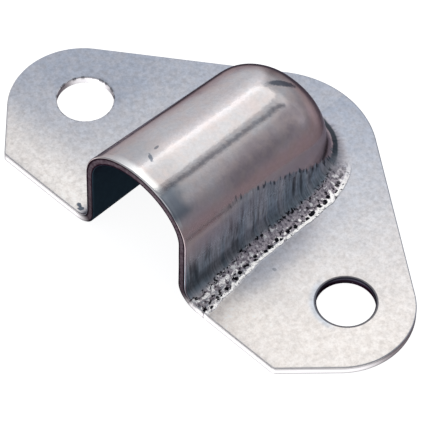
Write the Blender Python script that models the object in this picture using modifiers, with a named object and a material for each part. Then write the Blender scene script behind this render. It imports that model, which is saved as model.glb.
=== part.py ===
"""Fairlead chock: a rope guide for a boat, pressed from one sheet of stainless steel.

A flat flange with two screw holes carries a drawn hood. The hood is open at the mouth and underneath,
and its back end is domed. Metres, +Z up. The origin is the middle of the footprint, on the underside.
The mouth faces -Y, and the two screw holes lie to either side along X.
"""

import math

import bmesh
import bpy
from mathutils import Vector
from mathutils.geometry import interpolate_bezier

MM = 0.001

# The sheet and the flange.
SHEET = 0.9 * MM
FLANGE_DEPTH = 28.0 * MM  # front edge to the middle of the back edge
FRONT_EDGE = 35.0 * MM
EAR_RADIUS = 7.2 * MM
EAR_X = 16.6 * MM
EAR_INSET = 9.4 * MM  # ear arc's centre, behind the front edge
BACK_RADIUS = 10.0 * MM

# The screw holes: clearance for an M5 or No. 10 screw.
HOLE_DIAMETER = 5.4 * MM
HOLE_SPACING = 34.0 * MM
HOLE_INSET = 10.1 * MM  # hole's centre, behind the front edge

# The hood, measured over the outside of the sheet. It narrows and falls a little towards the back.
MOUTH_HALF_WIDTH = 6.4 * MM
MOUTH_HEIGHT = 13.3 * MM
STRAIGHT_LENGTH = 15.8 * MM  # mouth to where the dome starts
DOME_LENGTH = 6.8 * MM
DOME_HALF_WIDTH = 5.9 * MM
DOME_HEIGHT = 12.2 * MM
MOUTH_DRAW_RADIUS = 1.5 * MM  # blend between the hood and the flange, on the top side
DOME_DRAW_RADIUS = 2.2 * MM
SIDE_LEG = 0.59  # height of the upright side walls, as a share of the hood's height
OUTLINE_POWER = 2.35  # superellipse powers: 2 is an ellipse, more is squarer
CROWN_POWER = 2.0
BACK_POWER = 2.3

# How finely the curved shapes are divided.
STRAIGHT_STATIONS = 5
DOME_STATIONS = 10
BLEND_POINTS = 6
WALL_POINTS = 14
PROFILE_SAMPLES = 96
HOLE_POINTS = 36
EAR_POINTS = 18
BACK_POINTS = 9

BEZIER_QUARTER = 0.5523  # handle length of a quarter circle, over its radius
FRONT_Y = -FLANGE_DEPTH / 2
TURN_STEP = 0.001  # step in turn for a direction on the hood's outline
MERGE = 0.01 * MM
SHARP_EDGE = math.radians(35)

STEEL_COLOUR = (0.62, 0.61, 0.60, 1.0)
STEEL_ROUGHNESS = 0.32


def clear_scene():
    for leftover in list(bpy.data.objects):
        bpy.data.objects.remove(leftover, do_unlink=True)


def new_collection(name):
    collection = bpy.data.collections.new(name)
    bpy.context.scene.collection.children.link(collection)
    return collection


def stainless_steel():
    material = bpy.data.materials.new("stainless_steel")
    material.use_nodes = True
    shader = material.node_tree.nodes["Principled BSDF"]
    shader.inputs["Base Color"].default_value = STEEL_COLOUR
    shader.inputs["Metallic"].default_value = 1.0
    shader.inputs["Roughness"].default_value = STEEL_ROUGHNESS
    return material


def along_hood(y):
    """0 at the mouth, 1 where the dome starts, and more inside the dome."""
    return (y - FRONT_Y) / STRAIGHT_LENGTH


def half_width(y):
    return MOUTH_HALF_WIDTH + (DOME_HALF_WIDTH - MOUTH_HALF_WIDTH) * along_hood(y)


def height(y):
    return MOUTH_HEIGHT + (DOME_HEIGHT - MOUTH_HEIGHT) * along_hood(y)


def draw_radius(y):
    growth = min(along_hood(y), 1.0)
    return MOUTH_DRAW_RADIUS + (DOME_DRAW_RADIUS - MOUTH_DRAW_RADIUS) * growth


def arc(centre, radius, start, end, points):
    """Points on an arc in the plane of the flange's top."""
    angles = [start + (end - start) * i / (points - 1) for i in range(points)]
    return [centre + radius * Vector((math.cos(a), math.sin(a), 0)) for a in angles]


def resample(points, count):
    """The same path as count points at even distances."""
    reached = [0.0]
    for a, b in zip(points, points[1:]):
        reached.append(reached[-1] + (b - a).length)
    even = []
    segment = 0
    for i in range(count):
        target = reached[-1] * i / (count - 1)
        while segment < len(points) - 2 and reached[segment + 1] < target:
            segment += 1
        span = reached[segment + 1] - reached[segment]
        share = (target - reached[segment]) / span
        even.append(points[segment].lerp(points[segment + 1], min(share, 1.0)))
    return even


def wall_point(turn, y_share, rho, rise):
    """A point on the hood: rho runs from 1 at the wall's base to 0 on the ridge, and rise from 0 to 1.

    turn is 0 along the straight sides and grows to a quarter turn at the middle of the back.
    """
    forward = DOME_LENGTH * rho * math.sin(turn) ** (2 / OUTLINE_POWER)
    y = FRONT_Y + STRAIGHT_LENGTH * y_share + forward
    across = max(math.cos(turn), 0.0) ** (2 / OUTLINE_POWER)
    x = half_width(y) * rho * across if turn < math.pi / 2 else 0.0
    return Vector((x, y, height(y) * rise))


def wall_profile(turn, y_share):
    """The hood's section from the top of the draw radius to the ridge."""
    back = math.sin(turn) ** 2
    power = CROWN_POWER + (BACK_POWER - CROWN_POWER) * back
    leg = SIDE_LEG * (1 - back)
    base = wall_point(turn, y_share, 1, 1)
    lowest = (SHEET + draw_radius(base.y)) / base.z
    points = []
    if leg > lowest:
        points.append(wall_point(turn, y_share, 1, lowest))
    first_angle = math.asin(max((lowest - leg) / (1 - leg), 0.0) ** (power / 2))
    for i in range(PROFILE_SAMPLES):
        angle = first_angle + (math.pi / 2 - first_angle) * i / (PROFILE_SAMPLES - 1)
        rho = max(math.cos(angle), 0.0) ** (2 / power)
        rise = leg + (1 - leg) * math.sin(angle) ** (2 / power)
        points.append(wall_point(turn, y_share, rho, rise))
    points[-1].x = 0.0
    return resample(points, WALL_POINTS)


def outward(turn):
    """Level direction away from the hood's wall: sideways, and then turning back round the dome."""
    if turn == 0:
        return Vector((1, 0, 0))
    if turn == math.pi / 2:
        return Vector((0, 1, 0))
    along = wall_point(turn + TURN_STEP, 1, 1, 0) - wall_point(turn - TURN_STEP, 1, 1, 0)
    return Vector((along.y, -along.x, 0)).normalized()


def hood_section(turn, y_share):
    """One section of the right half, from the flange's top face up to the ridge."""
    wall = wall_profile(turn, y_share)
    away = outward(turn)
    foot = wall_point(turn, y_share, 1, 0)
    radius = draw_radius(foot.y)
    seam = foot + radius * away
    seam.z = SHEET
    handle = BEZIER_QUARTER * radius
    up_the_wall = (wall[1] - wall[0]).normalized()
    blend = interpolate_bezier(
        seam, seam - handle * away, wall[0] - handle * up_the_wall, wall[0], BLEND_POINTS
    )
    return blend[:-1] + wall


def flange_outline():
    """Right half of the flange's edge, from its front corner round to the middle of the back."""
    corner = Vector((FRONT_EDGE / 2, FRONT_Y, SHEET))
    ear = Vector((EAR_X, FRONT_Y + EAR_INSET, SHEET))
    back = Vector((0, -FRONT_Y - BACK_RADIUS, SHEET))
    to_corner = corner - ear
    start = math.atan2(to_corner.y, to_corner.x) + math.acos(EAR_RADIUS / to_corner.length)
    to_ear = ear - back
    lean = math.acos((BACK_RADIUS - EAR_RADIUS) / to_ear.length)
    end = math.atan2(to_ear.y, to_ear.x) + lean
    outline = [corner] + arc(ear, EAR_RADIUS, start, end, EAR_POINTS)
    outline += arc(back, BACK_RADIUS, end, math.pi / 2, BACK_POINTS)
    outline[-1].x = 0.0
    return outline


def loft(mesh, sections):
    """Faces between neighbouring sections. Returns the vertices at the foot of each section."""
    rows = [[mesh.verts.new(point) for point in section] for section in sections]
    for row, following in zip(rows, rows[1:]):
        for i in range(len(row) - 1):
            mesh.faces.new((row[i], following[i], following[i + 1], row[i + 1]))
    return [row[0] for row in rows]


def ring(mesh, verts, closed):
    following = verts[1:] + verts[:1] if closed else verts[1:]
    return [mesh.edges.get(pair) or mesh.edges.new(pair) for pair in zip(verts, following)]


def half_sheet():
    """The sheet's top surface to the right of the middle, as one open mesh."""
    stations = [(0.0, i / STRAIGHT_STATIONS) for i in range(STRAIGHT_STATIONS + 1)]
    stations += [(math.pi / 2 * i / DOME_STATIONS, 1.0) for i in range(1, DOME_STATIONS + 1)]
    mesh = bmesh.new()
    seam = loft(mesh, [hood_section(*station) for station in stations])
    edge = [mesh.verts.new(point) for point in flange_outline()]
    centre = Vector((HOLE_SPACING / 2, FRONT_Y + HOLE_INSET, SHEET))
    circle = arc(centre, HOLE_DIAMETER / 2, 0, math.tau, HOLE_POINTS + 1)[:-1]
    hole = [mesh.verts.new(point) for point in circle]
    edges = ring(mesh, edge + seam[::-1], closed=True) + ring(mesh, hole, closed=True)
    bmesh.ops.triangle_fill(mesh, use_beauty=True, use_dissolve=False, edges=edges)
    bmesh.ops.remove_doubles(mesh, verts=mesh.verts, dist=MERGE)
    bmesh.ops.recalc_face_normals(mesh, faces=mesh.faces)
    top = max(mesh.faces, key=lambda face: face.calc_center_median().z)
    if top.normal.z < 0:
        bmesh.ops.reverse_faces(mesh, faces=mesh.faces)
    return mesh


def make_pressing(collection):
    half = half_sheet()
    data = bpy.data.meshes.new("fairlead_pressing")
    half.to_mesh(data)
    half.free()
    pressing = bpy.data.objects.new("fairlead_pressing", data)
    collection.objects.link(pressing)
    data.materials.append(stainless_steel())
    data.shade_smooth()
    mirror = pressing.modifiers.new("other_half", "MIRROR")
    mirror.merge_threshold = MERGE
    solidify = pressing.modifiers.new("sheet_thickness", "SOLIDIFY")
    solidify.thickness = SHEET
    solidify.offset = -1
    solidify.use_even_offset = True
    data.set_sharp_from_angle(angle=SHARP_EDGE)
    return pressing


clear_scene()
make_pressing(new_collection("fairlead_chock"))
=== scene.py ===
import math
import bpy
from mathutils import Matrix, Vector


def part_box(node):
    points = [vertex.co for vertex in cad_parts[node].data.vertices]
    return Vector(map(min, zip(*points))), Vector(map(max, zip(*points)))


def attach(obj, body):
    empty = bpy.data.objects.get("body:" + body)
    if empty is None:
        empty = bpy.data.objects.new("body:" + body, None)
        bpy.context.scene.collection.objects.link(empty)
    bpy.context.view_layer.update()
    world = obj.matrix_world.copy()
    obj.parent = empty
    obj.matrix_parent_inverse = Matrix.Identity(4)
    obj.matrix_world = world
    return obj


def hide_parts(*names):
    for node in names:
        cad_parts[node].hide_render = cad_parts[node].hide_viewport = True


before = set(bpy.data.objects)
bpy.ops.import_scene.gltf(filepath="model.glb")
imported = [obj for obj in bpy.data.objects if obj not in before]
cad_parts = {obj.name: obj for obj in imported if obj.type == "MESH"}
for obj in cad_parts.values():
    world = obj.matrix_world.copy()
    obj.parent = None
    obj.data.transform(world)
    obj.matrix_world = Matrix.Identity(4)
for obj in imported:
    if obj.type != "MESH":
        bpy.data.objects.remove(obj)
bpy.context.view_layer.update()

from types import SimpleNamespace

import bmesh
import bpy
import numpy as np
from mathutils import Matrix, Vector, noise
from mathutils.geometry import delaunay_2d_cdt, interpolate_bezier

NODE = "fairlead_pressing"
MM = 0.001

# ---------------------------------------------------------------- dimensions, as in the CAD
NODE_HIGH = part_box(NODE)[1]
BACK_Y = NODE_HIGH.y
FRONT_Y = -BACK_Y
MOUTH_HEIGHT = NODE_HIGH.z
SHEET = 0.9 * MM
FRONT_EDGE = 35.0 * MM
EAR_CENTRE = Vector((16.6 * MM, FRONT_Y + 9.4 * MM))
EAR_RADIUS = NODE_HIGH.x - EAR_CENTRE.x
BACK_RADIUS = 10.0 * MM
CORNER_RADIUS = 0.5 * MM  # the blank's front corners, worn round
CORNER_INSET = 0.4 * CORNER_RADIUS  # of the round corner's centre, inwards from the sharp corner
HOLE_CENTRE = Vector((17.0 * MM, FRONT_Y + 10.1 * MM))
HOLE_RADIUS = 2.7 * MM
MOUTH_HALF_WIDTH = 6.4 * MM
STRAIGHT_LENGTH = 15.8 * MM
DOME_LENGTH = 6.8 * MM
DOME_HALF_WIDTH = 5.9 * MM
DOME_HEIGHT = 12.2 * MM
MOUTH_DRAW_RADIUS = 1.5 * MM
DOME_DRAW_RADIUS = 2.2 * MM
SIDE_LEG = 0.59
OUTLINE_POWER = 2.35
CROWN_POWER = 2.0
BACK_POWER = 2.3

# ---------------------------------------------------------------- detail of the real sheet
TOP_EDGE = 0.13 * MM  # rounding of a cut edge on the top side, from tumbling and die roll
BOTTOM_EDGE = 0.09 * MM
EDGE_STEPS = 5
CUT_STEPS = 4
STRAIGHT_STATIONS = 100
DOME_STATIONS = 66
BLEND_POINTS = 20
WALL_POINTS = 62
PROFILE_SAMPLES = 240
CORNER_POINTS = 8
EAR_POINTS = 60
BACK_POINTS = 34
HOLE_POINTS = 72
OUTLINE_PITCH = 0.3 * MM
GRID_PITCH = 0.46 * MM
SEAM_ROWS = (
    # distance off the hood's foot, and how many of its points each step passes
    (0.15 * MM, 1),
    (0.32 * MM, 1),
    (0.52 * MM, 2),
    (0.78 * MM, 2),
)
EDGE_ROWS = (0.14 * MM, 0.38 * MM)
ROW_CLEARANCE = 0.1 * MM
GRID_CLEARANCE = 0.28 * MM
MERGE = 0.002 * MM
BEZIER_QUARTER = 0.5523  # handle length of a quarter circle, over its radius
TURN_STEP = 0.0005

# ---------------------------------------------------------------- unevenness of the real sheet
CROWN_PATCH = 3.2 * MM  # radius round the dome's pole that gets one smooth surface
CROWN_REACH = 5 * MM  # only what lies further up the hood than this belongs to it
CROWN_BLEND = 0.35  # share of the patch's radius that follows the new surface fully
CENTRE_WEIGHT = 0.02
DENT = 0.012 * MM  # unevenness of the drawn surface
DENT_SIZE = 2.6 * MM
FINE_DENT = 0.004 * MM
FINE_DENT_SIZE = 0.7 * MM
DENTS_FROM = 0.5 * MM  # up the hood
DENTS_FULL = 2.5 * MM
SEAM_LIFT = 0.05 * MM  # the flange is drawn up beside the hood
SEAM_LIFT_WIDTH = 1.1 * MM
SEAM_LIFT_END = 2 * MM  # up the hood
HOLE_DIP = 0.05 * MM
HOLE_DIP_WIDTH = 0.45 * MM
WAVE = 0.02 * MM
WAVE_SIZE = 7 * MM
WAVE_FULL = 2.5 * MM  # off the hood


def smoothstep(low, high, value):
    share = np.clip((value - low) / (high - low), 0.0, 1.0)
    return share * share * (3 - 2 * share)


# ---------------------------------------------------------------- the hood's shape
def along_hood(y):
    return (y - FRONT_Y) / STRAIGHT_LENGTH


def half_width(y):
    return MOUTH_HALF_WIDTH + (DOME_HALF_WIDTH - MOUTH_HALF_WIDTH) * along_hood(y)


def height(y):
    return MOUTH_HEIGHT + (DOME_HEIGHT - MOUTH_HEIGHT) * along_hood(y)


def draw_radius(y):
    growth = min(along_hood(y), 1.0)
    return MOUTH_DRAW_RADIUS + (DOME_DRAW_RADIUS - MOUTH_DRAW_RADIUS) * growth


def wall_point(turn, y_share, rho, rise):
    """As in the CAD: rho is 1 at the wall's base and 0 on the ridge, and turn grows round the dome."""
    forward = DOME_LENGTH * rho * math.sin(turn) ** (2 / OUTLINE_POWER)
    y = FRONT_Y + STRAIGHT_LENGTH * y_share + forward
    across = max(math.cos(turn), 0.0) ** (2 / OUTLINE_POWER)
    x = half_width(y) * rho * across if turn < math.pi / 2 else 0.0
    return Vector((x, y, height(y) * rise))


def resample(points, count):
    """The same path as count points at even distances."""
    path = np.array(points)
    reached = np.r_[0.0, np.cumsum(np.linalg.norm(np.diff(path, axis=0), axis=1))]
    even = np.linspace(0.0, reached[-1], count)
    return np.stack([np.interp(even, reached, path[:, i]) for i in range(3)], axis=1)


def wall_profile(turn, y_share):
    back = math.sin(turn) ** 2
    power = CROWN_POWER + (BACK_POWER - CROWN_POWER) * back
    leg = SIDE_LEG * (1 - back)
    base = wall_point(turn, y_share, 1, 1)
    lowest = (SHEET + draw_radius(base.y)) / base.z
    points = [wall_point(turn, y_share, 1, lowest)] if leg > lowest else []
    first_angle = math.asin(max((lowest - leg) / (1 - leg), 0.0) ** (power / 2))
    for i in range(PROFILE_SAMPLES):
        angle = first_angle + (math.pi / 2 - first_angle) * i / (PROFILE_SAMPLES - 1)
        rho = max(math.cos(angle), 0.0) ** (2 / power)
        rise = leg + (1 - leg) * math.sin(angle) ** (2 / power)
        points.append(wall_point(turn, y_share, rho, rise))
    points[-1].x = 0.0
    return resample(points, WALL_POINTS)


def outward(turn):
    """Level direction away from the hood's wall, as in the CAD."""
    if turn == 0:
        return Vector((1, 0, 0))
    if turn >= math.pi / 2:
        return Vector((0, 1, 0))
    along = wall_point(turn + TURN_STEP, 1, 1, 0) - wall_point(turn - TURN_STEP, 1, 1, 0)
    return Vector((along.y, -along.x, 0)).normalized()


def hood_section(turn, y_share):
    """One section of the right half, from the flange's top face up to the ridge."""
    wall = wall_profile(turn, y_share)
    away = outward(turn)
    foot = wall_point(turn, y_share, 1, 0)
    radius = draw_radius(foot.y)
    seam = foot + radius * away
    seam.z = SHEET
    handle = BEZIER_QUARTER * radius
    base = Vector(wall[0])
    up_the_wall = (Vector(wall[1]) - base).normalized()
    blend = interpolate_bezier(
        seam, seam - handle * away, base - handle * up_the_wall, base, BLEND_POINTS
    )
    return np.vstack([np.array(blend[:-1]), wall])


def stations():
    inset = TOP_EDGE / STRAIGHT_LENGTH
    straight = [(0.0, inset + (1 - inset) * i / STRAIGHT_STATIONS) for i in range(STRAIGHT_STATIONS + 1)]
    dome = [(math.pi / 2 * i / DOME_STATIONS, 1.0) for i in range(1, DOME_STATIONS + 1)]
    return straight + dome


# ---------------------------------------------------------------- the flange's shape
def tangent_angle(first, first_radius, second, second_radius):
    """Direction square to the outer tangent of two circles, on their right-hand side."""
    gap = first - second
    return math.atan2(gap.y, gap.x) + math.acos((second_radius - first_radius) / gap.length)


def outline(inset):
    """Right half of the flange's edge, inset by a distance, from the front to the middle of the back."""
    corner = Vector((FRONT_EDGE / 2 - CORNER_INSET, FRONT_Y + CORNER_RADIUS))
    back = Vector((0.0, BACK_Y - BACK_RADIUS))
    side = tangent_angle(corner, CORNER_RADIUS, EAR_CENTRE, EAR_RADIUS)
    rear = tangent_angle(EAR_CENTRE, EAR_RADIUS, back, BACK_RADIUS)
    arcs = [
        (corner, CORNER_RADIUS, -math.pi / 2, side, CORNER_POINTS),
        (EAR_CENTRE, EAR_RADIUS, side, rear, EAR_POINTS),
        (back, BACK_RADIUS, rear, math.pi / 2, BACK_POINTS),
    ]
    points = []
    for centre, radius, start, end, count in arcs:
        for i in range(count):
            angle = start + (end - start) * i / (count - 1)
            points.append(centre + (radius - inset) * Vector((math.cos(angle), math.sin(angle))))
    points[-1].x = 0.0
    return points


def divided(points, pitch):
    """The same polyline with long stretches cut to about the pitch."""
    result = [points[0]]
    for start, end in zip(points, points[1:]):
        steps = max(1, round((end - start).length / pitch))
        result += [start.lerp(end, i / steps) for i in range(1, steps + 1)]
    return result


def hole_circle(radius):
    angles = [math.tau * i / HOLE_POINTS for i in range(HOLE_POINTS)]
    return [HOLE_CENTRE + radius * Vector((math.cos(a), math.sin(a))) for a in angles]


def inside(points, loop):
    """Which points lie inside a closed loop, by counting crossings."""
    x, y = points[:, 0, None], points[:, 1, None]
    x1, y1 = loop[:, 0], loop[:, 1]
    x2, y2 = np.roll(x1, -1), np.roll(y1, -1)
    spans = (y1 > y) != (y2 > y)
    rise = np.where(y2 == y1, 1.0, y2 - y1)
    crossing = spans & (x < (x2 - x1) * (y - y1) / rise + x1)
    return crossing.sum(axis=1) % 2 == 1


def nearest(points, targets):
    """Index of, and distance to, the nearest target for each point."""
    gaps = np.linalg.norm(points[:, None, :2] - targets[None, :, :2], axis=2)
    return gaps.argmin(axis=1), gaps.min(axis=1)


def flange_mesh(seam, directions):
    """Points and triangles of the flange's right half, fine near the hood, the edges and the hole."""
    start = Vector((seam[0][0], seam[0][1]))
    rim = divided([start] + outline(TOP_EDGE), OUTLINE_PITCH)
    middle = divided([rim[-1], Vector((0.0, seam[-1][1]))], OUTLINE_PITCH)
    loop = rim + middle[1:-1] + [Vector((p[0], p[1])) for p in seam[::-1]][:-1]
    hole = hole_circle(HOLE_RADIUS + TOP_EDGE)
    fixed = np.array([tuple(p) for p in loop + hole])
    rows = []
    for distance, skip in SEAM_ROWS:
        rows += [seam[i][:2] + distance * directions[i] for i in range(0, len(seam), skip)]
    for distance in EDGE_ROWS:
        rows += [np.array(p) for p in divided(outline(TOP_EDGE + distance), OUTLINE_PITCH)]
        rows += [np.array(p) for p in hole_circle(HOLE_RADIUS + TOP_EDGE + distance)]
    xs = np.arange(0.0, NODE_HIGH.x, GRID_PITCH)
    ys = np.arange(FRONT_Y, BACK_Y, GRID_PITCH * math.sqrt(0.75))
    grid = [(x + (j % 2) * GRID_PITCH / 2, y) for j, y in enumerate(ys) for x in xs]
    edge = np.array([tuple(p) for p in loop])
    chosen = fixed
    for candidates, clearance in ((np.array(rows), ROW_CLEARANCE), (np.array(grid), GRID_CLEARANCE)):
        kept = candidates[inside(candidates, edge)]
        kept = kept[np.linalg.norm(kept - np.array(HOLE_CENTRE), axis=1) > HOLE_RADIUS + TOP_EDGE]
        kept = kept[nearest(kept, chosen)[1] > clearance]
        chosen = np.vstack([chosen, kept])
    count = len(loop)
    edges = [(i, (i + 1) % count) for i in range(count)]
    edges += [(count + i, count + (i + 1) % len(hole)) for i in range(len(hole))]
    flat = [Vector((x / MM, y / MM)) for x, y in chosen]
    points, _, faces, _, _, _ = delaunay_2d_cdt(flat, edges, [], 1, 1e-6)
    points = np.array([tuple(p) for p in points]) * MM
    centres = np.array([points[list(face)].mean(axis=0) for face in faces])
    hollow = inside(centres, np.array([tuple(p) for p in hole]))
    return points, [face for face, gone in zip(faces, hollow) if not gone]


# ---------------------------------------------------------------- the sheet as one mesh
def top_surface():
    """The sheet's whole top face as an open mesh.

    Its layers hold how far round the seam each point lies, and how far up the hood (or, below 0, off it).
    """
    mesh = bmesh.new()
    around_layer = mesh.verts.layers.float.new("around")
    reach_layer = mesh.verts.layers.float.new("reach")
    places = stations()
    sections = [hood_section(*place) for place in places]
    directions = [np.array(outward(turn))[:2] for turn, _ in places]
    seam = np.array([section[0] for section in sections])
    around = np.r_[0.0, np.cumsum(np.linalg.norm(np.diff(seam, axis=0), axis=1))]
    grid = []
    for section, place_around in zip(sections, around):
        steps = np.linalg.norm(np.diff(section, axis=0), axis=1)
        reach = np.r_[0.0, np.cumsum(steps)]
        column = []
        for point, off in zip(section, reach):
            vert = mesh.verts.new(point)
            vert[around_layer] = place_around
            vert[reach_layer] = off
            column.append(vert)
        grid.append(column)
    for left, right in zip(grid, grid[1:]):
        for i in range(len(left) - 1):
            mesh.faces.new((left[i], right[i], right[i + 1], left[i + 1]))
    points, faces = flange_mesh(seam, directions)
    closest, off = nearest(points, seam)
    verts = []
    for point, index, distance in zip(points, closest, off):
        vert = mesh.verts.new((point[0], point[1], SHEET))
        vert[around_layer] = around[index]
        vert[reach_layer] = -distance
        verts.append(vert)
    for face in faces:
        mesh.faces.new([verts[i] for i in face])
    bmesh.ops.remove_doubles(mesh, verts=mesh.verts, dist=MERGE)
    everything = mesh.verts[:] + mesh.edges[:] + mesh.faces[:]
    bmesh.ops.mirror(mesh, geom=everything, axis="X", merge_dist=MERGE)
    bmesh.ops.recalc_face_normals(mesh, faces=mesh.faces)
    crown = max(mesh.faces, key=lambda face: face.calc_center_median().z)
    if crown.normal.z < 0:
        bmesh.ops.reverse_faces(mesh, faces=mesh.faces)
    return mesh


def even_crown(mesh):
    """Gives the crown one smooth surface round the point where the dome's sections meet."""
    reach_layer = mesh.verts.layers.float["reach"]
    pole = Vector((0.0, FRONT_Y + STRAIGHT_LENGTH, 0.0))
    near = [
        vert for vert in mesh.verts
        if vert[reach_layer] > CROWN_REACH and (vert.co - pole).to_2d().length < CROWN_PATCH
    ]
    x, y, z = np.array([vert.co - pole for vert in near]).T / CROWN_PATCH
    off = np.hypot(x, y)
    powers = ((0, 0), (0, 1), (0, 2), (0, 3), (0, 4), (2, 0), (2, 1), (2, 2), (4, 0))
    terms = np.stack([x ** a * y ** b for a, b in powers], axis=1)
    weight = off + CENTRE_WEIGHT
    fitted = np.linalg.lstsq(terms * weight[:, None], z * weight, rcond=None)[0]
    change = (terms @ fitted - z) * smoothstep(1.0, CROWN_BLEND, off) * CROWN_PATCH
    for vert, lift in zip(near, change):
        vert.co.z += lift


def warp(mesh):
    """Slight unevenness of pressed sheet: the flange is drawn up beside the hood and dips at the holes."""
    reach_layer = mesh.verts.layers.float["reach"]
    mesh.normal_update()
    for vert in mesh.verts:
        reach = vert[reach_layer]
        off = -min(reach, 0.0)
        lift = SEAM_LIFT * math.exp(-off / SEAM_LIFT_WIDTH)
        to_hole = (Vector((abs(vert.co.x), vert.co.y)) - HOLE_CENTRE).length - HOLE_RADIUS
        flat = smoothstep(0.0, WAVE_FULL, off)
        dip = HOLE_DIP * math.exp(-max(to_hole, 0.0) / HOLE_DIP_WIDTH) * flat
        wave = WAVE * noise.noise(vert.co / WAVE_SIZE) * flat
        drawn = smoothstep(DENTS_FROM, DENTS_FULL, reach)
        ripple = DENT * noise.noise(vert.co / DENT_SIZE) + FINE_DENT * noise.noise(vert.co / FINE_DENT_SIZE)
        vert.co += vert.normal * ripple * drawn
        vert.co.z += lift * (1 if reach <= 0 else max(0, 1 - reach / SEAM_LIFT_END))
        vert.co.z += wave - dip


def boundary_loops(mesh):
    """Each open edge loop as verts in order, with the sheet on its left-hand side."""
    following = {}
    for edge in mesh.edges:
        if edge.is_boundary:
            loop = edge.link_loops[0]
            following[loop.vert] = loop.link_loop_next.vert
    loops = []
    while following:
        start = next(iter(following))
        ring = [start]
        after = following.pop(start)
        while after is not start:
            ring.append(after)
            after = following.pop(after)
        loops.append(ring)
    return loops


def rim_profile():
    """Offsets (out, down) from the top face's edge round to the underside's, and the side each has.

    side is 0 on top, 0.5 to 1.5 down the cut face and 2 underneath.
    """
    turns = [math.pi / 2 * i / EDGE_STEPS for i in range(1, EDGE_STEPS + 1)]
    low = SHEET - BOTTOM_EDGE
    inner = TOP_EDGE - BOTTOM_EDGE
    rows = [(TOP_EDGE * math.sin(a), TOP_EDGE * (1 - math.cos(a)), a / math.pi) for a in turns]
    for i in range(1, CUT_STEPS + 1):
        share = i / CUT_STEPS
        rows.append((TOP_EDGE, TOP_EDGE + (low - TOP_EDGE) * share, 0.5 + share))
    for a in turns:
        rows.append((inner + BOTTOM_EDGE * math.cos(a), low + BOTTOM_EDGE * math.sin(a), 1.5 + a / math.pi))
    return rows


def closed_sheet(mesh):
    """Gives the open top face its underside and its rounded, cut edges.

    The side layer is 0 on top, 1 on the cut face and 2 underneath.
    """
    side_layer = mesh.verts.layers.float.new("side")
    layers = [mesh.verts.layers.float[name] for name in ("around", "reach")]
    mesh.normal_update()
    top_verts = list(mesh.verts)
    normals = {vert: vert.normal.copy() for vert in top_verts}
    loops = boundary_loops(mesh)
    under = {}
    for vert in top_verts:
        twin = mesh.verts.new(vert.co - SHEET * normals[vert])
        twin.co.z = max(twin.co.z, 0.0)
        twin[side_layer] = 2.0
        for layer in layers:
            twin[layer] = vert[layer]
        under[vert] = twin
    for face in list(mesh.faces):
        mesh.faces.new([under[vert] for vert in reversed(face.verts)])
    profile = rim_profile()
    for ring in loops:
        count = len(ring)
        rows = [ring]
        outs = []
        for i, vert in enumerate(ring):
            along = (ring[(i + 1) % count].co - ring[i - 1].co).normalized()
            outs.append(along.cross(normals[vert]).normalized())
        for out, down, on_side in profile:
            row = []
            last = on_side == profile[-1][2]
            for vert, away in zip(ring, outs):
                place = vert.co + out * away - down * normals[vert]
                place.z = max(place.z, 0.0)
                if last:
                    rim_vert = under[vert]
                    rim_vert.co = place
                else:
                    rim_vert = mesh.verts.new(place)
                    rim_vert[side_layer] = on_side
                    for layer in layers:
                        rim_vert[layer] = vert[layer]
                row.append(rim_vert)
            rows.append(row)
        for upper, lower in zip(rows, rows[1:]):
            for i in range(count):
                j = (i + 1) % count
                mesh.faces.new((upper[j], upper[i], lower[i], lower[j]))
    bmesh.ops.recalc_face_normals(mesh, faces=mesh.faces)


def make_sheet():
    mesh = top_surface()
    even_crown(mesh)
    warp(mesh)
    closed_sheet(mesh)
    data = bpy.data.meshes.new("pressed_sheet")
    mesh.to_mesh(data)
    mesh.free()
    data.shade_smooth()
    sheet = bpy.data.objects.new("pressed_sheet", data)
    bpy.context.scene.collection.objects.link(sheet)
    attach(sheet, "root")
    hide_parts(NODE)
    return sheet


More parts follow.
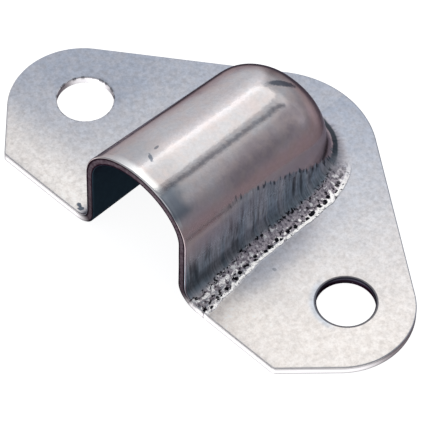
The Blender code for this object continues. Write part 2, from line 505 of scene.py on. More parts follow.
# ---------------------------------------------------------------- node trees
class Graph:
    """Short calls for building a node tree. A value may be a number, a colour or another node's socket."""

    def __init__(self, tree):
        self.tree = tree

    def node(self, kind, inputs=(), **settings):
        made = self.tree.nodes.new(kind)
        for name, value in settings.items():
            setattr(made, name, value)
        for name, value in dict(inputs).items():
            self.feed(made.inputs[name], value)
        return made

    def feed(self, socket, value):
        if isinstance(value, bpy.types.NodeSocket):
            self.tree.links.new(value, socket)
        else:
            socket.default_value = value

    def maths(self, operation, first, second=0.0):
        return self.node("ShaderNodeMath", {0: first, 1: second}, operation=operation).outputs[0]

    def product(self, *values):
        total = values[0]
        for value in values[1:]:
            total = self.maths("MULTIPLY", total, value)
        return total

    def sum(self, *values):
        total = values[0]
        for value in values[1:]:
            total = self.maths("ADD", total, value)
        return total

    def gap(self, first, second):
        """Distance between two values, without its sign."""
        return self.maths("ABSOLUTE", self.maths("SUBTRACT", first, second))

    def swing(self, noise, amount):
        """Noise from 0 to 1 turned into a shift to either side of 0."""
        return self.product(self.maths("SUBTRACT", noise, 0.5), amount)

    def length(self, vector):
        return self.node("ShaderNodeVectorMath", {0: vector}, operation="LENGTH").outputs["Value"]

    def step(self, value, low, high, start=0.0, end=1.0):
        """Smooth change from start to end while value goes from low to high."""
        inputs = {"Value": value, "From Min": low, "From Max": high, "To Min": start, "To Max": end}
        return self.node("ShaderNodeMapRange", inputs, interpolation_type="SMOOTHSTEP").outputs[0]

    def mix(self, share, first, second):
        made = self.node("ShaderNodeMix", {"Factor": share}, data_type="RGBA")
        self.feed(made.inputs[6], first)
        self.feed(made.inputs[7], second)
        return made.outputs[2]

    def tint(self, colour, factor):
        """The colour times a factor."""
        return self.node("ShaderNodeVectorMath", {0: colour, "Scale": factor}, operation="SCALE").outputs[0]

    def attribute(self, name):
        return self.node("ShaderNodeAttribute", attribute_name=name).outputs["Fac"]

    def vector(self, x, y, z):
        return self.node("ShaderNodeCombineXYZ", {0: x, 1: y, 2: z}).outputs[0]

    def noise(self, place, size, seed, detail=2.0, roughness=0.5):
        inputs = {"Vector": place, "W": seed, "Scale": 1 / size, "Detail": detail, "Roughness": roughness}
        return self.node("ShaderNodeTexNoise", inputs, noise_dimensions="4D").outputs[0]

    def dots(self, place, size):
        """Distance from the nearest dot's centre, for dots spread over a flat place vector."""
        inputs = {"Vector": place, "Scale": 1 / size, "Randomness": 0.9}
        return self.node("ShaderNodeTexVoronoi", inputs, voronoi_dimensions="2D").outputs["Distance"]


# ---------------------------------------------------------------- stage, light and camera
CAMERA_AZIMUTH = math.radians(43.54)
CAMERA_ELEVATION = math.radians(51.74)
CAMERA_ROLL = math.radians(1.25)
CAMERA_DISTANCE = 317.3 * MM
AIM_RIGHT = 7.02 * MM
AIM_UP = 4.83 * MM
LENS = 293.2


def direction(azimuth, elevation):
    """Unit vector towards a compass place: azimuth 0 is in front of the mouth, and 90 is +X."""
    a, e = math.radians(azimuth), math.radians(elevation)
    return Vector((math.sin(a) * math.cos(e), -math.cos(a) * math.cos(e), math.sin(e)))


def make_camera():
    back = direction(math.degrees(CAMERA_AZIMUTH), math.degrees(CAMERA_ELEVATION))
    level = Vector((math.cos(CAMERA_AZIMUTH), math.sin(CAMERA_AZIMUTH), 0))
    rise = back.cross(level)
    right = math.cos(CAMERA_ROLL) * level + math.sin(CAMERA_ROLL) * rise
    up = math.cos(CAMERA_ROLL) * rise - math.sin(CAMERA_ROLL) * level
    aim = Vector((0, FRONT_Y, 0)) + AIM_RIGHT * right + AIM_UP * up
    data = bpy.data.cameras.new("camera")
    data.lens = LENS
    data.clip_start = 10 * MM
    data.clip_end = 10.0
    camera = bpy.data.objects.new("camera", data)
    turn = Matrix((right, up, back)).transposed().to_4x4()
    camera.matrix_world = Matrix.Translation(aim + CAMERA_DISTANCE * back) @ turn
    bpy.context.scene.collection.objects.link(camera)
    bpy.context.scene.camera = camera


def area_light(name, azimuth, elevation, distance, width, length, power, colour):
    data = bpy.data.lights.new(name, "AREA")
    data.shape = "ELLIPSE"
    data.size = width
    data.size_y = length
    data.energy = power
    data.color = colour
    lamp = bpy.data.objects.new(name, data)
    way = direction(azimuth, elevation)
    lamp.location = way * distance
    lamp.rotation_mode = "QUATERNION"
    lamp.rotation_quaternion = way.to_track_quat("Z", "Y")
    lamp.visible_camera = False
    bpy.context.scene.collection.objects.link(lamp)


SOFT_BOXES = (
    # azimuth, elevation, half width, half height and softness in degrees, then colour and strength
    (-150, 60, 40, 18, 9, (1.0, 0.98, 0.95), 0.34),
    (-122, 13, 24, 36, 5, (0.98, 0.98, 1.0), 0.48),
    (-139, 45, 7, 15, 9, (1.0, 0.98, 0.95), 0.14),
    (176, 28, 40, 21, 11, (1.0, 0.97, 0.97), 0.27),
    (130, 46, 13, 8, 8, (1.0, 0.97, 0.97), 0.07),
    (-174, -12, 22, 14, 9, (1.0, 0.95, 0.96), 0.20),
    (10, 35, 30, 20, 16, (1.0, 0.95, 0.97), 0.42),
    (-43, -52, 34, 26, 14, (1.0, 1.0, 1.0), 1.3),
    (38, -52, 42, 26, 14, (1.0, 1.0, 1.0), 1.1),
)
FLAGS = (
    # azimuth, elevation, half width, half height and softness in degrees, then how dark
    (158, 54, 3.2, 13, 2.5, 0.7),
    (-128, -48, 40, 24, 6, 0.65),
)
ROOM_LOW = (0.27, 0.235, 0.25, 1)
ROOM_HIGH = (0.27, 0.28, 0.31, 1)
FLAG_COLOUR = (0.05, 0.06, 0.10, 1)


def make_world():
    """A dim room with large soft boxes round it, and dark flags that some of the steel reflects."""
    world = bpy.data.worlds.new("studio")
    world.use_nodes = True
    bpy.context.scene.world = world
    g = Graph(world.node_tree)
    way = g.node("ShaderNodeTexCoord").outputs["Generated"]

    def along(axis):
        return g.node("ShaderNodeVectorMath", {0: way, 1: axis}, operation="DOT_PRODUCT").outputs["Value"]

    def panel(azimuth, elevation, half_width, half_height, softness):
        """1 inside a soft-edged panel, and 0 outside it."""
        centre = direction(azimuth, elevation)
        across = Vector((0, 0, 1)).cross(centre).normalized()
        upward = centre.cross(across)
        ahead = along(centre)
        mask = g.step(ahead, 0.0, 0.02)
        for axis, half in ((across, half_width), (upward, half_height)):
            angle = g.maths("ABSOLUTE", g.maths("ARCTAN2", along(axis), ahead))
            edges = (math.radians(half + softness), math.radians(half - softness))
            mask = g.product(mask, g.step(angle, *edges))
        return mask

    rise = along((0, 0, 1))
    light = g.mix(g.step(rise, -0.25, 0.15), ROOM_LOW, ROOM_HIGH)
    for *shape, colour, strength in SOFT_BOXES:
        lit = g.tint(colour, g.product(panel(*shape), strength))
        light = g.node("ShaderNodeVectorMath", {0: light, 1: lit}, operation="ADD").outputs[0]
    for *shape, depth in FLAGS:
        light = g.mix(g.product(panel(*shape), depth), light, FLAG_COLOUR)
    background = world.node_tree.nodes["Background"]
    g.feed(background.inputs["Color"], light)


def make_floor():
    bpy.ops.mesh.primitive_plane_add(size=2.0, location=(0, 0, -0.02 * MM))
    floor = bpy.context.object
    floor.name = "floor"
    material = bpy.data.materials.new("pale_floor")
    material.use_nodes = True
    shader = material.node_tree.nodes["Principled BSDF"]
    shader.inputs["Base Color"].default_value = (0.55, 0.55, 0.55, 1)
    shader.inputs["Roughness"].default_value = 0.9
    shader.inputs["Specular IOR Level"].default_value = 0.0
    shader.inputs["Emission Color"].default_value = (1, 1, 1, 1)
    shader.inputs["Emission Strength"].default_value = 0.9
    floor.data.materials.append(material)
    floor.visible_glossy = False


# ---------------------------------------------------------------- the steel
# Distances along the hood's foot (around) and up from it (reach), for the press's marks and for painted
# shade.
RIGHT_SHIFT = 40 * MM  # moves the right side's noise away from the left side's
WORN_HEIGHT = 9.4 * MM  # top of the worn zone at the mouth
WORN_FROM = 4 * MM  # from here back the zone gets lower
WORN_TO = 31 * MM
LINE_FROM = 6 * MM  # from here back the zone ends in a sharp dark line
BAND_LOW = -1.2 * MM  # the galled band, at the mouth
BAND_HIGH = 0.75 * MM
BAND_TURN = 9 * MM  # from here back the band is level
BAND_RISE = 0.9 * MM  # how much higher it lies there
BAND_END = 21.5 * MM
FILLET_SHADE_FROM = 22 * MM  # painted shade in the fillet behind the dome
FILLET_SHADE_TO = 29 * MM
FILLET_SHADE_HIGH = 1.65 * MM
FILLET_SHADE_LOW = 0.7 * MM
DARK_BAND_FROM = 6 * MM  # a dark band that climbs the hood's side from the mouth towards the dome
DARK_BAND_TO = 18 * MM
DARK_BAND_LOW = 10.9 * MM
DARK_BAND_HIGH = 12.2 * MM
DARKER_EAR_X = -19 * MM  # centre of a darker patch on the left ear
MARKS = (
    # centre x and y, half length, half width, turn in degrees, and how dark
    (0.95 * MM, 3.95 * MM, 1.35 * MM, 0.4 * MM, 62, 0.8),
    (-0.45 * MM, -11.6 * MM, 0.5 * MM, 0.17 * MM, -28, 0.7),
    (-0.97 * MM, -10.3 * MM, 0.32 * MM, 0.14 * MM, 95, 0.6),
    (9.86 * MM, -5.88 * MM, 0.22 * MM, 0.18 * MM, 0, 0.45),
    (-8.15 * MM, -13.3 * MM, 0.3 * MM, 0.2 * MM, -20, 0.9),
    (-7.7 * MM, -13.5 * MM, 0.36 * MM, 0.24 * MM, 30, 0.9),
)

# The metal's colours. The flange first, then the hood, the worn walls, the band and marks, and the edges.
# painted light on the flange: the next two are its lit colours, in front and towards the hood, and the
# third is its shaded colour behind
FLANGE_LIT = (0.91, 0.875, 0.84, 1)
FLANGE_LIT_BY_HOOD = (1.0, 0.965, 0.92, 1)
FLANGE_SHADE = (0.42, 0.46, 0.54, 1)
# painted shade of the hood on the flange beside it, then the hood's painted reflection there
HOOD_SHADE_ON_FLANGE = (0.40, 0.45, 0.54, 1)
HOOD_REFLECTION_ON_FLANGE = (0.50, 0.56, 0.68, 1)
# painted shade on the flange beside the right hole
HOLE_SHADE = (0.50, 0.60, 0.72, 1)
FLANGE_FLECK = (0.62, 0.52, 0.44, 1)
HOOD_PINK = (0.65, 0.61, 0.615, 1)
HOOD_GREY = (0.64, 0.635, 0.65, 1)
HOOD_MAUVE = (0.66, 0.55, 0.58, 1)
HOOD_DARK_BAND = (0.40, 0.33, 0.35, 1)
HOOD_FLECK = (0.70, 0.58, 0.52, 1)
# painted highlight along the mouth's edge
LIP_HIGHLIGHT = (0.97, 0.97, 0.95, 1)
MOUTH_PATCH = (0.23, 0.27, 0.32, 1)
WALL_BLUE = (0.44, 0.54, 0.62, 1)
WALL_GREY = (0.62, 0.66, 0.72, 1)
BLACK_STREAK = (0.06, 0.08, 0.10, 1)
WORN_LINE = (0.05, 0.065, 0.085, 1)
GALL_DARK = (0.22, 0.19, 0.23, 1)
GALL_LIGHT = (0.60, 0.54, 0.58, 1)
BURR = (0.97, 0.97, 0.96, 1)
PIT = (0.012, 0.012, 0.016, 1)
# painted shade in the fillet behind the dome
FILLET_SHADE = (0.035, 0.055, 0.07, 1)
MARK = (0.06, 0.09, 0.13, 1)
# painted highlight on the rims in front, and painted shade on them behind
RIM_HIGHLIGHT = (0.95, 0.95, 0.95, 1)
RIM_SHADE = (0.45, 0.50, 0.58, 1)
# painted shade on the rim of the wall's cut edge
WALL_RIM_SHADE = (0.16, 0.12, 0.14, 1)
# painted shade: the mouth's cut face near black
HOOD_CUT_SHADE_DARK = (0.052, 0.040, 0.048, 1)
HOOD_CUT_SHADE_LIGHT = (0.125, 0.105, 0.12, 1)
HOOD_CUT_LINE = (0.008, 0.007, 0.01, 1)
FLANGE_CUT = (0.95, 0.95, 0.96)
LEFT_BORE = (0.80, 0.80, 0.82, 1)  # bright wall
RIGHT_BORE_SHADE = (0.012, 0.01, 0.014, 1)  # painted shade: the wall near black
# painted shade round the holes' top edges
HOLE_RING_SHADE = (0.05, 0.05, 0.07, 1)
UNDER_FLANGE = (0.55, 0.56, 0.58, 1)
# painted shade inside the hood, and a painted contact shadow along its foot
UNDER_HOOD_SHADE = (0.026, 0.050, 0.068, 1)
UNDER_FOOT_SHADOW = (0.003, 0.003, 0.004, 1)
STEEL_F82 = (0.45, 0.40, 0.42, 1)  # how much darker the oxide film makes the metal near grazing


def sheet_places(g):
    """Where a point of the sheet lies, and which part of the sheet it is on, from 0 to 1."""
    at = SimpleNamespace()
    at.place = g.node("ShaderNodeTexCoord").outputs["Object"]
    at.x, at.y, at.z = g.node("ShaderNodeSeparateXYZ", {0: at.place}).outputs
    at.around = g.attribute("around")
    at.reach = g.attribute("reach")
    at.side = g.attribute("side")
    at.right = g.maths("GREATER_THAN", at.x, 0.0)
    at.along = g.sum(at.around, g.product(at.right, RIGHT_SHIFT))
    at.foot = g.vector(at.along, at.reach, 0.0)
    swayed = g.sum(at.along, g.swing(g.noise(at.foot, 1.8 * MM, 0.5, detail=1.0), 0.5 * MM))
    at.drawn = g.vector(swayed, g.product(at.reach, 0.06), 0.0)
    at.hood = g.step(at.reach, -0.2 * MM, 1.6 * MM)
    at.cut = g.product(g.step(at.side, 0.38, 0.5), g.step(at.side, 1.9, 1.8))
    at.cut_line = g.sum(g.step(at.side, 0.86, 0.62), g.step(at.side, 1.24, 1.42))
    at.rim = g.product(g.step(at.side, 0.02, 0.12), g.step(at.side, 0.42, 0.3))
    at.under = g.step(at.side, 1.55, 1.7)
    bore_x = g.maths("SUBTRACT", g.maths("ABSOLUTE", at.x), HOLE_CENTRE.x)
    bore_y = g.maths("SUBTRACT", at.y, HOLE_CENTRE.y)
    at.from_bore = g.length(g.vector(bore_x, bore_y, 0.0))
    at.bore = g.step(at.from_bore, HOLE_RADIUS + 0.16 * MM, HOLE_RADIUS + 0.10 * MM)
    at.near_side_of_bore = g.maths("SUBTRACT", g.product(bore_x, -0.6), g.product(bore_y, 0.8))
    return at


def sheet_noise(g, at):
    """Fine unevenness of the finish. What lies in the drawn place is stretched up the walls."""
    at.mottle = g.noise(at.place, 0.36 * MM, 3.0, detail=3.0, roughness=0.65)
    at.warm_spot = g.noise(at.place, 0.9 * MM, 3.5, detail=2.0)
    at.cloud = g.noise(at.place, 3.2 * MM, 4.0, detail=3.0)
    at.streak = g.noise(at.drawn, 0.8 * MM, 5.0, detail=3.0, roughness=0.65)
    at.scratch = g.noise(at.drawn, 0.16 * MM, 5.5, detail=1.0)
    at.broad = g.noise(at.drawn, 1.4 * MM, 6.0, detail=1.0)
    at.pull = g.noise(g.vector(at.along, g.product(at.reach, 0.3), 0.0), 2.6 * MM, 6.5, detail=2.0)
    at.grain = g.noise(at.foot, 0.24 * MM, 7.0, detail=2.0, roughness=0.6)
    at.clump = g.noise(at.foot, 0.5 * MM, 9.0, detail=2.0)
    at.near_mouth = g.step(at.around, 9 * MM, 4 * MM)


def worn_walls(g, at):
    """The zone that the die has rubbed: soft-edged at the mouth, and with a ragged line further back."""
    line = g.step(at.around, WORN_FROM, WORN_TO, WORN_HEIGHT, 0.0)
    sharp = g.step(at.around, LINE_FROM - 3 * MM, LINE_FROM + 3 * MM)
    ragged = g.swing(g.noise(at.drawn, 0.45 * MM, 1.0, detail=3.0), 2.2 * MM)
    below = g.maths("SUBTRACT", line, g.sum(at.reach, ragged))
    worn = g.mix(sharp, g.step(below, 0.4 * MM, 5.6 * MM), g.step(below, -0.2 * MM, 0.25 * MM))
    at.worn = g.product(worn, at.hood)
    at.near_line = g.product(at.worn, g.step(below, 0.9 * MM, 0.1 * MM), sharp)
    at.deep = g.step(at.reach, 8.0 * MM, 2.5 * MM)
    on_line = g.step(g.gap(below, 0.25 * MM), 0.40 * MM, 0.15 * MM)
    dashed = g.step(g.noise(at.drawn, 0.34 * MM, 1.5), 0.5, 0.58)
    at.dashes = g.product(on_line, dashed, sharp, at.hood)


def galled_band(g, at):
    """The torn band in the draw radius: a bright burr on its outer side, and pits in rows."""
    shift = g.step(at.around, 0.0, BAND_TURN, 0.0, BAND_RISE)
    at.fray = g.swing(g.noise(at.foot, 0.9 * MM, 2.0, detail=3.0), 1.1 * MM)
    frayed = g.product(at.fray, g.step(at.around, 9 * MM, 3 * MM, 0.3, 1.0))
    at.level = g.maths("SUBTRACT", g.sum(at.reach, frayed), shift)
    left_start = g.maths("MAXIMUM", at.right, g.step(at.around, 2 * MM, 5 * MM))
    at.fades = g.product(g.step(at.around, BAND_END + 2 * MM, BAND_END - 3 * MM), left_start)
    at.band = g.product(
        g.step(at.level, BAND_LOW - 0.06 * MM, BAND_LOW + 0.06 * MM),
        g.step(at.level, BAND_HIGH + 0.25 * MM, BAND_HIGH - 0.25 * MM),
        at.fades,
    )
    burr = g.product(g.step(at.level, BAND_LOW + 0.5 * MM, BAND_LOW + 0.35 * MM), at.band)
    upper = g.product(g.step(at.level, -0.2 * MM, 0.5 * MM), g.step(at.around, 4 * MM, 7 * MM))
    patchy = g.sum(at.clump, g.product(at.near_mouth, 0.07))
    patchy = g.maths("SUBTRACT", patchy, g.product(upper, 0.06))
    at.white = g.maths("MAXIMUM", burr, g.product(g.step(patchy, 0.53, 0.58), at.band))
    dot = g.sum(g.dots(at.foot, 0.62 * MM), g.swing(at.grain, 0.45))
    row = g.product(
        g.step(at.level, BAND_LOW + 0.3 * MM, BAND_LOW + 0.42 * MM),
        g.step(at.level, BAND_LOW + 0.95 * MM, BAND_LOW + 0.8 * MM),
    )
    pits = g.product(g.step(dot, 0.38, 0.30), g.step(at.clump, 0.36, 0.42), row, at.fades)
    near_top = g.step(g.gap(at.level, BAND_HIGH), 0.30 * MM, 0.16 * MM)
    top_row = g.product(near_top, g.step(at.clump, 0.46, 0.52), at.fades)
    torn = g.maths("MAXIMUM", top_row, g.product(at.band, g.step(at.clump, 0.42, 0.36)))
    at.pitted = g.maths("MAXIMUM", pits, g.product(g.step(at.grain, 0.51, 0.45), torn))


# painted shade in the fillet behind the dome
def fillet_shade_mask(g, at):
    fillet_shade_at = g.step(at.around, FILLET_SHADE_FROM - 1 * MM, FILLET_SHADE_TO, FILLET_SHADE_HIGH, FILLET_SHADE_LOW)
    return g.product(
        g.step(g.gap(g.sum(at.reach, g.product(at.fray, 0.3)), fillet_shade_at), 0.42 * MM, 0.22 * MM),
        g.step(at.around, FILLET_SHADE_FROM - 1 * MM, FILLET_SHADE_FROM + 2 * MM),
        g.step(at.around, FILLET_SHADE_TO + 1 * MM, FILLET_SHADE_TO - 1 * MM),
    )


def spot_mask(g, at, centre_x, centre_y, half_length, half_width, turn):
    """1 inside a small ellipse, as seen from above, with a ragged edge."""
    from_x = g.maths("SUBTRACT", at.x, centre_x)
    from_y = g.maths("SUBTRACT", at.y, centre_y)
    lengthwise = g.sum(g.product(from_x, math.cos(turn)), g.product(from_y, math.sin(turn)))
    sideways = g.maths("SUBTRACT", g.product(from_y, math.cos(turn)), g.product(from_x, math.sin(turn)))
    scaled = g.vector(g.product(lengthwise, 1 / half_length), g.product(sideways, 1 / half_width), 0.0)
    return g.step(g.sum(g.length(scaled), g.product(at.grain, 1.4)), 1.9, 1.45)


def flange_colour(g, at):
    """Tumbled sheet with painted light: lighter and warmer in front and towards the hood, darker and bluer
    behind, with painted shade and a painted reflection of the hood beside it, and painted shade by the
    right hole.
    """
    front = g.step(at.y, -7.5 * MM, -13 * MM)
    slope = g.sum(g.maths("SUBTRACT", at.y, at.x), g.swing(at.cloud, 10 * MM))
    off_darker_ear = g.length(g.vector(g.maths("SUBTRACT", at.x, DARKER_EAR_X), at.y, 0.0))
    # painted light falloff over the flange: darker behind and to the left, lighter in front
    flange_shade_share = g.sum(
        g.product(g.step(slope, -26 * MM, 22 * MM), g.maths("SUBTRACT", 1.0, g.product(front, 0.8))),
        g.product(at.right, g.step(at.y, -6 * MM, 2 * MM, 0.0, 0.12)),
        g.step(off_darker_ear, 6.5 * MM, 2 * MM, -0.14, 0.14),
        g.step(at.x, -12 * MM, -6 * MM, 0.08, 0.14),
    )
    # painted light: the flange lighter towards the hood
    flange_lit_colour = g.mix(g.step(at.reach, -8 * MM, -2 * MM), FLANGE_LIT, FLANGE_LIT_BY_HOOD)
    colour = g.mix(flange_shade_share, flange_lit_colour, FLANGE_SHADE)
    off_front = g.step(at.y, -12 * MM, -7 * MM)
    # painted shade and a painted reflection of the hood, on the flange beside it
    hood_shade = g.product(g.step(at.reach, -9 * MM, -1 * MM), at.right, off_front)
    colour = g.mix(g.product(hood_shade, 0.26), colour, HOOD_SHADE_ON_FLANGE)
    closest = g.step(at.reach, -3.4 * MM, -1.4 * MM)
    hood_reflection = g.product(closest, g.step(at.around, 20 * MM, 6 * MM, 0.1, 0.5), at.right, off_front)
    colour = g.mix(hood_reflection, colour, HOOD_REFLECTION_ON_FLANGE)
    # painted shade outside the right hole's rim
    hole_shade = g.product(
        g.step(at.from_bore, HOLE_RADIUS + 1.0 * MM, HOLE_RADIUS + 0.3 * MM),
        g.step(at.near_side_of_bore, 1.2 * MM, 2.4 * MM),
    )
    colour = g.mix(g.product(hole_shade, at.right, 0.6), colour, HOLE_SHADE)
    colour = g.mix(g.step(at.warm_spot, 0.4, 0.62, 0.0, 0.12), colour, FLANGE_FLECK)
    return g.tint(colour, g.step(at.mottle, 0.2, 0.8, 0.76, 1.18))


def dark_band_mask(g, at):
    dark_band_at = g.step(at.around, DARK_BAND_FROM, DARK_BAND_TO, DARK_BAND_LOW, DARK_BAND_HIGH)
    wander = g.swing(at.cloud, 2.6 * MM)
    off_dark_band = g.maths("ABSOLUTE", g.sum(g.maths("SUBTRACT", at.reach, dark_band_at), wander))
    return g.product(
        g.step(off_dark_band, 1.9 * MM, 0.4 * MM),
        g.step(at.around, DARK_BAND_FROM - 1 * MM, DARK_BAND_FROM + 2 * MM),
        g.step(at.around, DARK_BAND_TO + 6 * MM, DARK_BAND_TO + 1 * MM),
        g.step(at.pull, 0.3, 0.5, 0.55, 1.0),
    )


def hood_colour(g, at):
    """Drawn sheet under a thin oxide film, with a dark band up its side, painted shade on the crown at the
    mouth end and a painted highlight along the lip at the mouth.
    """
    colour = g.mix(g.step(at.cloud, 0.38, 0.62), HOOD_PINK, HOOD_GREY)
    mauve = g.product(g.step(at.reach, 13.0 * MM, 10.5 * MM), g.step(at.pull, 0.3, 0.6, 0.6, 1.0))
    colour = g.mix(mauve, colour, HOOD_MAUVE)
    colour = g.tint(colour, g.step(at.reach, 11 * MM, 8.5 * MM, 1.0, 1.12))
    # painted shade: the crown darker at the mouth end
    crown_mouth_shade = g.product(g.step(at.around, 5.5 * MM, 2 * MM), g.step(at.reach, 12.4 * MM, 13.6 * MM))
    colour = g.tint(colour, g.step(crown_mouth_shade, 0.0, 1.0, 1.0, 0.87))
    colour = g.mix(g.product(dark_band_mask(g, at), 0.64), colour, HOOD_DARK_BAND)
    colour = g.tint(colour, g.step(at.mottle, 0.2, 0.8, 0.92, 1.07))
    colour = g.mix(g.step(at.warm_spot, 0.42, 0.62, 0.0, 0.25), colour, HOOD_FLECK)
    # painted highlight along the lip at the mouth
    lip_highlight_from = g.step(at.around, 0.5 * MM, 0.2 * MM, 13.0 * MM, 10.0 * MM)
    lip_highlight = g.product(
        g.step(at.around, 0.9 * MM, 0.3 * MM),
        g.step(g.maths("SUBTRACT", at.reach, lip_highlight_from), 0.0, 1.5 * MM),
        g.step(at.x, -3 * MM, -1 * MM, 0.3, 1.0),
    )
    colour = g.mix(lip_highlight, colour, LIP_HIGHLIGHT)
    patch = g.product(
        g.step(g.sum(at.around, g.swing(at.cloud, 4 * MM)), 3.0 * MM, 1.2 * MM),
        g.step(at.reach, 10.6 * MM, 11.7 * MM),
        g.step(at.reach, 14.4 * MM, 13.8 * MM),
    )
    return g.mix(g.product(patch, at.right, 0.9), colour, MOUTH_PATCH)


def worn_colour(g, at):
    """Dark rubbed steel, finely scratched and streaked up the wall, and darkest along its foot."""
    colour = g.mix(g.step(at.broad, 0.4, 0.6), WALL_BLUE, WALL_GREY)
    colour = g.tint(colour, g.step(at.reach, 4.0 * MM, 7.5 * MM, 1.35, 1.0))
    colour = g.tint(colour, g.step(at.scratch, 0.35, 0.65, 0.82, 1.18))
    colour = g.tint(colour, g.step(at.reach, 3.6 * MM, 1.8 * MM, 1.0, 0.42))
    shaded_foot = g.product(
        at.near_mouth, g.step(at.reach, 6.5 * MM, 4 * MM), g.step(at.reach, 1.0 * MM, 2.0 * MM)
    )
    colour = g.tint(colour, g.step(shaded_foot, 0.0, 1.0, 1.0, 0.78))
    stretches = g.noise(g.vector(at.along, g.product(at.reach, 0.4), 0.0), 1.1 * MM, 8.0)
    black_streak = g.product(
        g.step(at.streak, 0.56, 0.36),
        g.step(stretches, 0.36, 0.58),
        g.step(at.reach, 1.4 * MM, 3.2 * MM, 0.3, 1.0),
    )
    colour = g.mix(g.product(black_streak, 0.85), colour, BLACK_STREAK)
    return g.tint(colour, g.step(at.mottle, 0.25, 0.75, 0.82, 1.18))


def marked(g, at, colour):
    """The colour with the worn walls, the galled band, the painted shade in the fillet behind the dome and
    the small dark marks over it.
    """
    share = g.maths("MAXIMUM", g.sum(0.75, g.product(at.deep, 0.25)), at.near_line)
    colour = g.mix(g.product(at.worn, share), colour, worn_colour(g, at))
    colour = g.mix(g.product(at.dashes, 0.8), colour, WORN_LINE)
    gall = g.mix(g.step(at.grain, 0.40, 0.60), GALL_DARK, GALL_LIGHT)
    colour = g.mix(g.product(at.band, 0.85), colour, gall)
    colour = g.mix(g.product(at.white, g.step(at.grain, 0.3, 0.42)), colour, BURR)
    colour = g.mix(at.pitted, colour, PIT)
    colour = g.mix(g.product(fillet_shade_mask(g, at), 0.9), colour, FILLET_SHADE)
    for *shape, turn, amount in MARKS:
        mark = spot_mask(g, at, *shape, math.radians(turn))
        colour = g.mix(g.product(mark, amount, g.step(at.side, 1.0, 0.5)), colour, MARK)
    return colour


def edged(g, at, colour):
    """The colour with the rims, the cut faces and the holes' walls and rings over it, with painted
    highlight and painted shade on most of them.
    """
    on_wall = g.product(g.step(at.reach, 0.2 * MM, 1.2 * MM), g.step(at.reach, 13.0 * MM, 11.5 * MM))
    # painted highlight along the front rims, painted shade along the back ones
    rim_highlight_and_shade = g.mix(g.step(at.y, -9 * MM, -4 * MM), RIM_HIGHLIGHT, RIM_SHADE)
    colour = g.mix(g.product(at.rim, g.step(on_wall, 0.0, 1.0, 0.75, 0.0)), colour, rim_highlight_and_shade)
    # painted shade: the rim up the wall darkened where it would catch light
    wall_rim_shade = g.product(
        at.rim, g.step(at.reach, 0.2 * MM, 1.2 * MM), g.step(at.reach, 10.5 * MM, 8.5 * MM)
    )
    colour = g.mix(g.product(wall_rim_shade, 0.9), colour, WALL_RIM_SHADE)
    # painted shade: the cut face at the mouth near black
    shaded_hood_cut = g.mix(g.step(at.mottle, 0.3, 0.7), HOOD_CUT_SHADE_DARK, HOOD_CUT_SHADE_LIGHT)
    shaded_hood_cut = g.mix(g.product(at.cut_line, 0.9), shaded_hood_cut, HOOD_CUT_LINE)
    cut_colour = g.mix(at.hood, g.tint(FLANGE_CUT, g.step(at.cut_line, 0.0, 1.0, 1.0, 0.6)), shaded_hood_cut)
    # painted shade on the right hole's wall, while the left one stays pale
    cut_colour = g.mix(at.bore, cut_colour, g.mix(at.right, LEFT_BORE, RIGHT_BORE_SHADE))
    in_bore = g.product(at.bore, g.step(at.side, 0.02, 0.12))
    colour = g.mix(g.maths("MAXIMUM", at.cut, in_bore), colour, cut_colour)
    on_top = g.step(at.side, 0.9, 0.5)
    # painted shade: a dark ring round each hole's top edge, wider round the right one
    ring = g.product(g.step(at.from_bore, HOLE_RADIUS + 0.18 * MM, HOLE_RADIUS + 0.12 * MM), on_top)
    wide_shade_ring = g.product(
        g.step(at.from_bore, HOLE_RADIUS + 0.30 * MM, HOLE_RADIUS + 0.22 * MM), at.right, on_top
    )
    broken_shade_ring = g.product(ring, g.step(at.clump, 0.50, 0.58, 0.0, 0.6))
    return g.mix(g.maths("MAXIMUM", broken_shade_ring, g.product(wide_shade_ring, 0.85)), colour, HOLE_RING_SHADE)


def underside_colour(g, at):
    # painted shade: the inside of the hood near black, with a painted contact shadow along its foot
    colour = g.mix(at.hood, UNDER_FLANGE, UNDER_HOOD_SHADE)
    colour = g.mix(g.product(at.hood, g.step(at.z, 0.55 * MM, 0.35 * MM)), colour, UNDER_FOOT_SHADOW)
    return g.tint(colour, g.step(at.mottle, 0.25, 0.75, 0.85, 1.12))


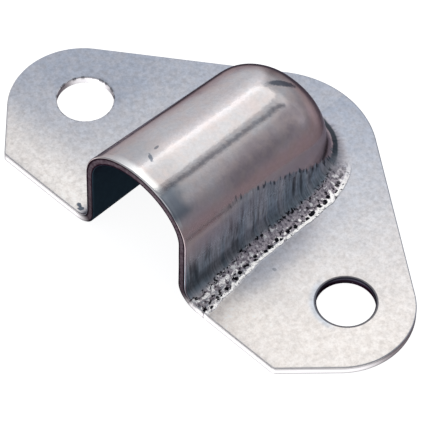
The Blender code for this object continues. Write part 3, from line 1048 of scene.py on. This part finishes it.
def steel_roughness(g, at):
    rough = g.sum(
        g.step(at.hood, 0.0, 1.0, 0.36, 0.11),
        g.swing(at.mottle, 0.12),
        g.product(at.hood, g.step(at.reach, 11.5 * MM, 9.5 * MM), 0.10),
        g.product(at.worn, at.deep, 0.16),
        g.product(at.band, 0.06),
    )
    rough = g.maths("SUBTRACT", rough, g.product(at.white, 0.16))
    return g.sum(rough, g.product(at.cut, at.hood, 0.25), g.product(at.under, 0.2))


def steel_relief(g, at):
    """Height of the fine relief, in metres. The bead is the band's raised outer flank."""
    bead = g.product(
        g.step(at.level, BAND_LOW - 0.15 * MM, BAND_LOW + 0.4 * MM),
        g.step(at.level, 4 * MM, 1 * MM),
        at.fades,
    )
    relief = g.sum(
        g.product(at.mottle, 0.008 * MM),
        g.product(at.streak, at.worn, 0.006 * MM),
        g.product(at.clump, at.band, 0.08 * MM),
        g.product(bead, 0.07 * MM),
    )
    return g.maths("SUBTRACT", relief, g.product(at.pitted, 0.06 * MM))


def steel_material():
    """Tumbled flange, smoother hood, worn and streaked lower walls, and a galled band along their foot."""
    material = bpy.data.materials.new("pressed_stainless")
    material.use_nodes = True
    shader = material.node_tree.nodes["Principled BSDF"]
    g = Graph(material.node_tree)
    at = sheet_places(g)
    sheet_noise(g, at)
    worn_walls(g, at)
    galled_band(g, at)
    colour = g.mix(at.hood, flange_colour(g, at), hood_colour(g, at))
    colour = edged(g, at, marked(g, at, colour))
    g.feed(shader.inputs["Base Color"], g.mix(at.under, colour, underside_colour(g, at)))
    g.feed(shader.inputs["Roughness"], steel_roughness(g, at))
    shader.inputs["Metallic"].default_value = 1.0
    shader.inputs["Specular Tint"].default_value = STEEL_F82
    bump = g.node("ShaderNodeBump", {"Height": steel_relief(g, at), "Distance": 1.0, "Strength": 1.0})
    g.feed(shader.inputs["Normal"], bump.outputs[0])
    return material


sheet = make_sheet()
sheet.data.materials.append(steel_material())
make_camera()
make_world()
make_floor()
area_light("key", -154, 61, 0.22, 0.135, 0.15, 0.0256, (1.0, 0.97, 0.93))
bpy.context.scene.view_settings.view_transform = "Standard"
